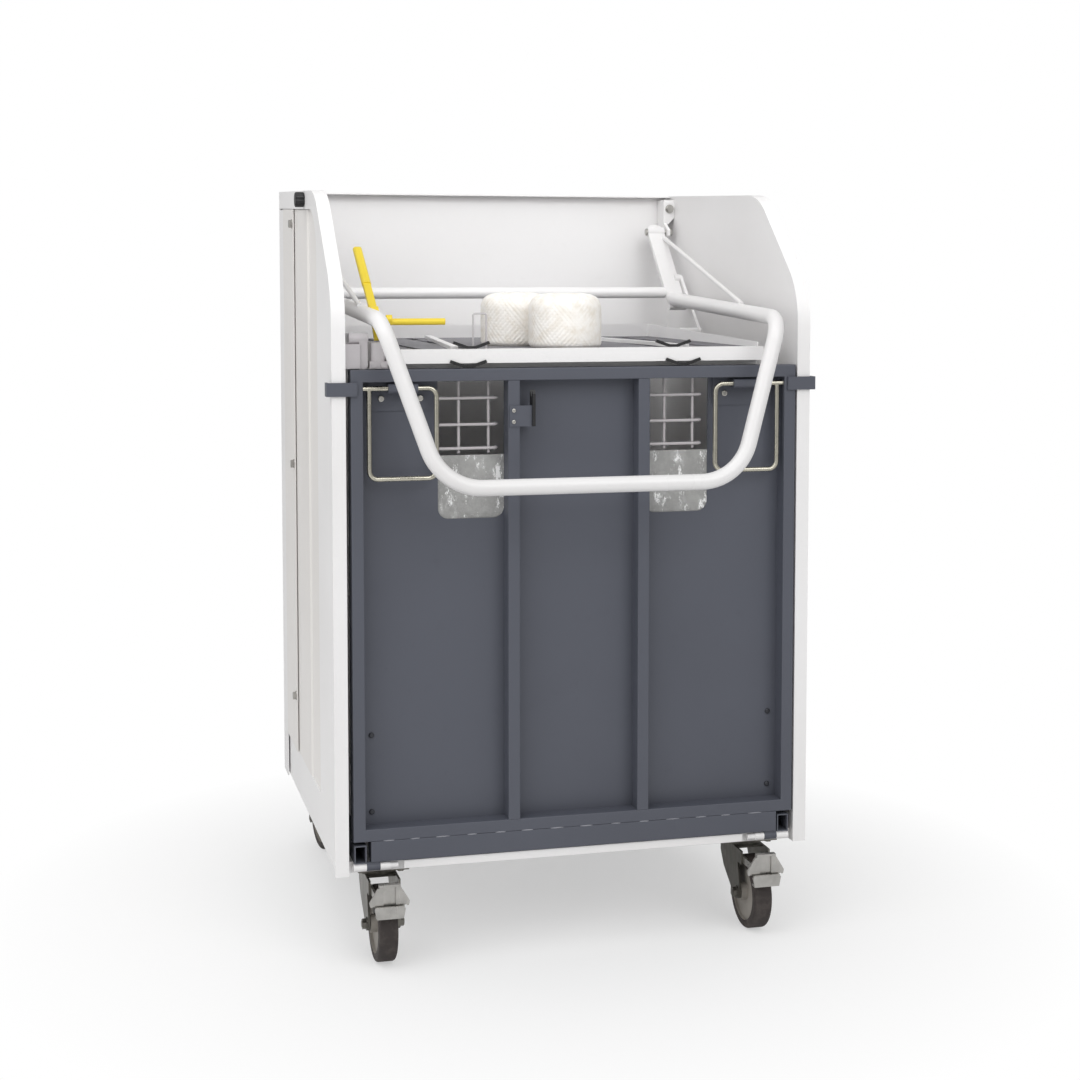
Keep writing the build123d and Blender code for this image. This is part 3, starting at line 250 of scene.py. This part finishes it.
LOOKS = {
    "wall": white,
    "side_cover": side_shaded_white,
    "back_panel": white,
    "floor_pan": white,
    "base_rail": dark_grey,
    "castor_bearers": white,
    "pivot_lug": white,
    "pivot_pins": zinc,
    "housing_screws": zinc,
    "body_knuckles": white,
    "castor_plates": dark_zinc,
    "latch_stop": guard_zinc,
    "side_knob": black,
    "door_screws": bright_zinc,
    "door": grey,
    "window_guards": guard_zinc,
    "window_panes": pane,
    "bail_bracket": grey,
    "bail_left": nickel,
    "bail_right": nickel,
    "twine_cutter": grey,
    "cutter_blade": black,
    "bow": bow_shaded_white,
    "cross_tube": bow_shaded_white,
    "press": white,
    "latch_keeper": guard_zinc,
    "twine_guide": guard_zinc,
    "twine_clips": black,
    "link": white,
    "release_lever": yellow,
    "castor_fork": dark_zinc,
    "castor_wheel": hub,
    "brake_pedal": zinc,
    "wall_hook": grey,
    "twine_balls": twine,
}


def look_of(name):
    # The longest key that the node's name starts with.
    keys = [key for key in LOOKS if name.startswith(key)]
    return LOOKS[max(keys, key=len)]


for name, node in nodes.items():
    node.data.materials.clear()
    node.data.materials.append(look_of(name).material)


# ---- Castor wheels: a rubber tyre round a plastic hub ----
TYRE_DEPTH = 13.6 * MM
for name, node in nodes.items():
    if name.startswith("castor_wheel"):
        low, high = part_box(name)
        middle = (Vector(low) + Vector(high)) / 2
        joint_name = name.replace("castor_wheel", "roll")
        joint = next(j for j in frame["joints"] if j["name"] == joint_name)
        axle = Vector(joint["axis"]).normalized()
        radius = (high[2] - low[2]) / 2
        node.data.materials.append(tyre.material)
        for face in node.data.polygons:
            arm = face.center - middle
            off = (arm - axle * arm.dot(axle)).length
            if off > radius - TYRE_DEPTH:
                face.material_index = 1


# ---- Press plate: a dark slotted top inside the white frame ----
# The top's faces lie between two levels, and inside the edges of the frame.
GRATE_LOW = 1002.5 * MM
GRATE_HIGH = 1007.0 * MM
GRATE_SETBACK = 26.5 * MM
GRATE_HALF_WIDTH = 323.5 * MM
EDGE = 1.5 * MM
press = nodes["press_frame"]
low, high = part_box("press_frame")
press_middle = (low[0] + high[0]) / 2
press.data.materials.append(grate_grey.material)
for face in press.data.polygons:
    spot = face.center
    in_width = abs(spot.x - press_middle) < GRATE_HALF_WIDTH
    in_depth = low[1] + GRATE_SETBACK < spot.y < high[1] - EDGE
    if in_width and in_depth and GRATE_LOW < spot.z < GRATE_HIGH:
        face.material_index = 1


# ---- Door screws: bright ones hold the bail plates, dark ones the side edges ----
BRIGHT_ABOVE = 0.80
screws = nodes["door_screws"]
screws.data.materials.append(dark_screw.material)
for face in screws.data.polygons:
    if face.center.z < BRIGHT_ABOVE:
        face.material_index = 1


# ---- Helpers for added pieces ----
def mesh_piece(name, points, faces, look, body):
    data = bpy.data.meshes.new(name)
    data.from_pydata(points, [], faces)
    data.update()
    data.materials.append(look.material)
    data.shade_smooth()
    piece = bpy.data.objects.new(name, data)
    bpy.context.scene.collection.objects.link(piece)
    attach(piece, body)
    return piece


def ring_faces(base, rings, around):
    # Four-sided faces between rings of points that follow each other from base on.
    made = []
    for k in range(rings - 1):
        low_ring = base + k * around
        high_ring = low_ring + around
        for i in range(around):
            j = (i + 1) % around
            made.append((low_ring + i, low_ring + j, high_ring + j, high_ring + i))
    return made


def cap(base, around, turned=False):
    # One face over the ring of points from base on.
    ring = range(base, base + around)
    return tuple(reversed(ring)) if turned else tuple(ring)


def islands(node):
    # The separate solids of a node, as lists of vertex places.
    mesh = node.data
    parent = {}

    def root(key):
        while parent[key] != key:
            parent[key] = parent[parent[key]]
            key = parent[key]
        return key

    keys = [tuple(round(c, 6) for c in v.co) for v in mesh.vertices]
    for key in keys:
        parent.setdefault(key, key)
    for face in mesh.polygons:
        first = root(keys[face.vertices[0]])
        for index in face.vertices[1:]:
            parent[root(keys[index])] = first
    groups = {}
    for key in set(keys):
        groups.setdefault(root(key), []).append(key)
    return list(groups.values())


# ---- Weld beads along the joint of the door's bottom rail and beam, lighter grey than the door: painted highlight along the joint ----
# The lengths, the gaps and the wander of the beads are drawn in millimetres.
BEAD_AROUND = 8
BEAD_RINGS = 9
BEAD_RADIUS = 1.25 * MM
BEAD_FLATNESS = 0.7
BEAD_LENGTH = (15, 24)
BEAD_SPACING = (26, 34)
BEAD_WANDER = 0.3
WELD_INSET = 20 * MM
WELD_SINK = 0.7 * MM
WELD_RISE = 0.3 * MM


def weld_row(name, start, end, depth, level):
    points = []
    faces = []
    x = start
    while x + BEAD_LENGTH[1] * MM < end:
        base = len(points)
        length = random.uniform(*BEAD_LENGTH) * MM
        for k in range(BEAD_RINGS):
            t = k / (BEAD_RINGS - 1)
            r = BEAD_RADIUS * math.sin(math.pi * (0.06 + 0.88 * t)) ** 0.5
            drop = random.uniform(-BEAD_WANDER, BEAD_WANDER) * MM
            for i in range(BEAD_AROUND):
                a = 2 * math.pi * i / BEAD_AROUND
                y = depth + r * math.cos(a) * BEAD_FLATNESS
                points.append((x + length * t, y, level + drop + r * math.sin(a)))
        faces += ring_faces(base, BEAD_RINGS, BEAD_AROUND)
        faces.append(cap(base, BEAD_AROUND, turned=True))
        faces.append(cap(base + (BEAD_RINGS - 1) * BEAD_AROUND, BEAD_AROUND))
        x += length + random.uniform(*BEAD_SPACING) * MM
    return mesh_piece(name, points, faces, weld_highlight_grey, "door")


low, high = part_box("door_beam")
start, end = low[0] + WELD_INSET, high[0] - WELD_INSET
weld_row("beam_weld", start, end, low[1] + WELD_SINK, high[2] + WELD_RISE)


# ---- Twine balls: wound strands in two crossing layers ----
# WINDS strands lie round a ball, and each turns by SLANT radians on its way up.
BALL_AROUND = 300
BALL_RINGS = 110
STRAND = 1.1 * MM
WINDS = 46
SLANT = 1.9
EYE = 9 * MM
EYE_RIM = 2 * MM
EYE_DEPTH = 22 * MM
SHOULDER = 34 * MM
FOOT_ROUND = 8 * MM
SIDE_STEPS = 12
CROWN_STEPS = 24
CROWN_BEND = (0.6, 0.62)
CROWN_FROM = 0.62
RIM_LIFT = 0.35


def ball_profile(radius, height):
    # Outline from the foot to the rim of the eye, as (radius, height) pairs at even steps.
    curve = [(radius - 5 * MM, 0.0), (radius - 1 * MM, 4 * MM)]
    straight = height - SHOULDER
    side = straight - FOOT_ROUND
    curve += [(radius, FOOT_ROUND + side * i / SIDE_STEPS) for i in range(SIDE_STEPS + 1)]
    for i in range(1, CROWN_STEPS + 1):
        a = math.pi / 2 * i / CROWN_STEPS
        out = EYE + (radius - EYE) * math.cos(a) ** CROWN_BEND[0]
        curve.append((out, straight + SHOULDER * math.sin(a) ** CROWN_BEND[1]))
    lengths = [0.0]
    for a, b in zip(curve, curve[1:]):
        lengths.append(lengths[-1] + math.dist(a, b))
    made = []
    for k in range(BALL_RINGS):
        target = lengths[-1] * k / (BALL_RINGS - 1)
        i = max(j for j in range(len(lengths)) if lengths[j] <= target + 1e-12)
        i = min(i, len(curve) - 2)
        t = (target - lengths[i]) / max(lengths[i + 1] - lengths[i], 1e-9)
        made.append(tuple(curve[i][n] + (curve[i + 1][n] - curve[i][n]) * t for n in (0, 1)))
    return made


def strand_lift(a, s):
    # Height of the strands at angle a and at share s of the way up.
    first = abs(math.sin(WINDS / 2 * (a + SLANT * s) + 0.4 * math.sin(3 * a)))
    second = abs(math.sin(WINDS / 2 * (a - SLANT * s) + 0.5 * math.sin(2 * a + 1)))
    over = 0.5 + 0.5 * math.sin(5 * a + 9 * s)
    return STRAND * max(first * (0.6 + 0.4 * over), second * (1 - 0.4 * over))


def wound_ball(name, centre, radius, height):
    points = []
    for k, (r, z) in enumerate(ball_profile(radius - STRAND, height - STRAND)):
        s = k / (BALL_RINGS - 1)
        for i in range(BALL_AROUND):
            a = 2 * math.pi * i / BALL_AROUND
            lift = strand_lift(a, s)
            out = r + lift * (RIM_LIFT if r < EYE + EYE_RIM else 1.0)
            up = z + (lift if s > CROWN_FROM else 0.0)
            x = centre[0] + out * math.cos(a)
            y = centre[1] + out * math.sin(a)
            points.append((x, y, centre[2] + up))
    rim = len(points) - BALL_AROUND
    points += [(x, y, z - EYE_DEPTH) for x, y, z in points[rim:]]
    faces = ring_faces(0, BALL_RINGS, BALL_AROUND)
    faces.append(cap(0, BALL_AROUND, turned=True))
    faces += ring_faces(rim, 2, BALL_AROUND)
    faces.append(cap(rim + BALL_AROUND, BALL_AROUND))
    return mesh_piece(name, points, faces, twine, "press")


balls = sorted(islands(nodes["twine_balls"]), key=lambda group: min(p[0] for p in group))
for ball_name, group in zip(("twine_ball_left", "twine_ball_right"), balls):
    low = [min(p[n] for p in group) for n in range(3)]
    high = [max(p[n] for p in group) for n in range(3)]
    centre = ((low[0] + high[0]) / 2, (low[1] + high[1]) / 2, low[2])
    ball = wound_ball(ball_name, centre, (high[0] - low[0]) / 2, high[2] - low[2])
    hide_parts("twine_balls")


# ---- Floor: diffuse near the machine, with a camera-only glow that paints light into its shadow; pure white for the camera further away ----
FLOOR_SIZE = 30.0
WHITE_FROM = 0.35
WHITE_AT = 1.0
# Share of the camera-only glow right by the machine: painted light that lifts the floor's cast
# shadow by this much.
NEAR_SHADOW_GLOW = 0.4
floor_look = Surface("floor", (242, 242, 242), 0.9)
floor_look.grain(0.0005, 0.1, scale=30.0)
distance = floor_look.add("ShaderNodeVectorMath", operation="LENGTH")
floor_look.join(floor_look.place, distance.inputs[0])
far = floor_look.ramp(distance.outputs["Value"], WHITE_FROM, WHITE_AT, NEAR_SHADOW_GLOW, 1.0)
seen_part = floor_look.add("ShaderNodeMath", operation="MULTIPLY")
floor_look.join(far, seen_part.inputs[0])
floor_look.join(floor_look.add("ShaderNodeLightPath").outputs["Is Camera Ray"], seen_part.inputs[1])
glow = floor_look.add("ShaderNodeEmission")
floor_mix = floor_look.add("ShaderNodeMixShader")
floor_look.join(seen_part.outputs["Value"], floor_mix.inputs["Fac"])
floor_look.join(floor_look.shader.outputs["BSDF"], floor_mix.inputs[1])
floor_look.join(glow.outputs["Emission"], floor_mix.inputs[2])
surface = floor_look.tree.nodes["Material Output"].inputs["Surface"]
floor_look.join(floor_mix.outputs["Shader"], surface)
h = FLOOR_SIZE / 2
floor_data = bpy.data.meshes.new("floor")
floor_data.from_pydata([(-h, -h, 0), (h, -h, 0), (h, h, 0), (-h, h, 0)], [], [(0, 1, 2, 3)])
floor_data.materials.append(floor_look.material)
floor = bpy.data.objects.new("floor", floor_data)
bpy.context.scene.collection.objects.link(floor)


# ---- Light: soft boxes, and a white room that only the camera sees at full strength ----
def softbox(name, place, aim, size, power):
    # A rectangular lamp turned to aim, with its size in metres and its power in watts.
    data = bpy.data.lights.new(name, "AREA")
    data.shape = "RECTANGLE"
    data.size = size[0]
    data.size_y = size[1]
    data.energy = power
    lamp = bpy.data.objects.new(name, data)
    lamp.location = place
    lamp.rotation_mode = "QUATERNION"
    lamp.rotation_quaternion = (Vector(aim) - Vector(place)).to_track_quat("-Z", "Y")
    bpy.context.scene.collection.objects.link(lamp)
    return data


MIDDLE = (0.0, 0.0, 0.7)
BACK_PANEL = (0.05, 0.30, 1.12)
INSIDE_SPREAD = 48
softbox("key", (1.2, -3.5, 3.0), MIDDLE, (2.6, 2.2), 46.0)
softbox("fill", (-3.4, -1.6, 1.7), MIDDLE, (2.4, 2.4), 16.0)
softbox("top", (-1.5, -1.1, 3.4), MIDDLE, (3.0, 3.0), 47.0)
inside = softbox("inside", (0.0, -0.9, 1.95), BACK_PANEL, (1.0, 0.5), 0.6)
inside.spread = math.radians(INSIDE_SPREAD)

WORLD_LIGHT = 0.50
WHITE = (1.0, 1.0, 1.0, 1.0)
world = bpy.data.worlds.new("world")
bpy.context.scene.world = world
world.use_nodes = True
tree = world.node_tree
tree.nodes.clear()
output = tree.nodes.new("ShaderNodeOutputWorld")
mix = tree.nodes.new("ShaderNodeMixShader")
path = tree.nodes.new("ShaderNodeLightPath")
room = tree.nodes.new("ShaderNodeBackground")
seen = tree.nodes.new("ShaderNodeBackground")
room.inputs["Color"].default_value = WHITE
room.inputs["Strength"].default_value = WORLD_LIGHT
seen.inputs["Color"].default_value = WHITE
seen.inputs["Strength"].default_value = 1.0
tree.links.new(path.outputs["Is Camera Ray"], mix.inputs["Fac"])
tree.links.new(room.outputs["Background"], mix.inputs[1])
tree.links.new(seen.outputs["Background"], mix.inputs[2])
tree.links.new(mix.outputs["Shader"], output.inputs["Surface"])

bpy.context.scene.view_settings.view_transform = "Standard"
